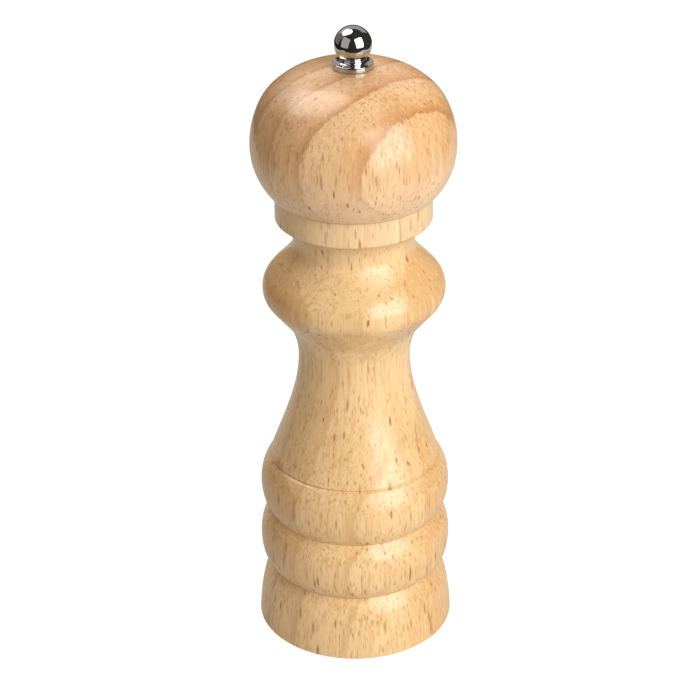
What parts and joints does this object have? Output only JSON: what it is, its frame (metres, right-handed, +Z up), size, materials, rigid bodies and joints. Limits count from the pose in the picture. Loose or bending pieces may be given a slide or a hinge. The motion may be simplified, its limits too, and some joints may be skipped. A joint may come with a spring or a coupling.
{
  "type": "pepper mill",
  "caption": "Turned wooden pepper mill with a ball-shaped head, a chromed ball finial that sets the grind, and a steel burr grinder driven by a square shaft.",
  "frame": {"origin": "centre of the annular foot, on the plane that the mill stands on", "axes": "+Z up the turning axis; +X towards the right bottom-bar screw; -Y towards the viewer in front"},
  "size_m": [0.0638, 0.0638, 0.2049],
  "materials": {
    "body_wood": "honey-coloured wood with fine dark pores, clear satin lacquer",
    "head_wood": "slightly pinker tan wood with sweeping growth rings, clear satin lacquer",
    "chrome": "polished chrome plate",
    "shaft_alloy": "drawn aluminium bar",
    "plated_steel": "zinc-plated pressed steel",
    "screw_steel": "bright zinc plate",
    "burr_steel": "case-hardened dark steel",
    "spring_steel": "spring steel wire and strip",
    "bearing_polymer": "natural nylon"
  },
  "bodies": {
    "root": {"body": "body_wood", "grinder_housing": "plated_steel", "spring_bridge": "plated_steel", "stator_ring": "burr_steel", "bottom_bar": "plated_steel", "bar_screw_left": "screw_steel", "bar_screw_right": "screw_steel", "flange_screw_front": "screw_steel", "flange_screw_back": "screw_steel"},
    "turning_seat": {"spring_seat": "bearing_polymer", "spring": "spring_steel"},
    "head": {"head": "head_wood", "drive_plate": "plated_steel", "drive_plate_screw_left": "screw_steel", "drive_plate_screw_right": "screw_steel"},
    "shaft": {"drive_shaft": "shaft_alloy", "rotor": "burr_steel", "rotor_washer": "plated_steel", "retaining_clip": "spring_steel", "spring_washer": "plated_steel"},
    "finial": {"finial_knob": "chrome"}
  },
  "joints": [
    {"name": "head_turn", "type": "hinge", "parent": "root", "child": "turning_seat", "pos_m": [0, 0, 0.0326], "axis": [0, 0, 1], "continuous": true},
    {"name": "head_lift", "type": "slide", "parent": "turning_seat", "child": "head", "axis": [0, 0, 1], "range_m": [0, 0.066]},
    {"name": "grind_adjust", "type": "slide", "parent": "turning_seat", "child": "shaft", "axis": [0, 0, 1], "range_m": [-0.0008, 0.0008], "deforming": ["spring"]},
    {"name": "finial_turn", "type": "hinge", "parent": "head", "child": "finial", "pos_m": [0, 0, 0.1919], "axis": [0, 0, 1], "range_deg": [-360, 360]}
  ],
  "couplings": [
    {"joint": "finial_turn", "follows": "grind_adjust", "rad_per_m": -7854}
  ]
}
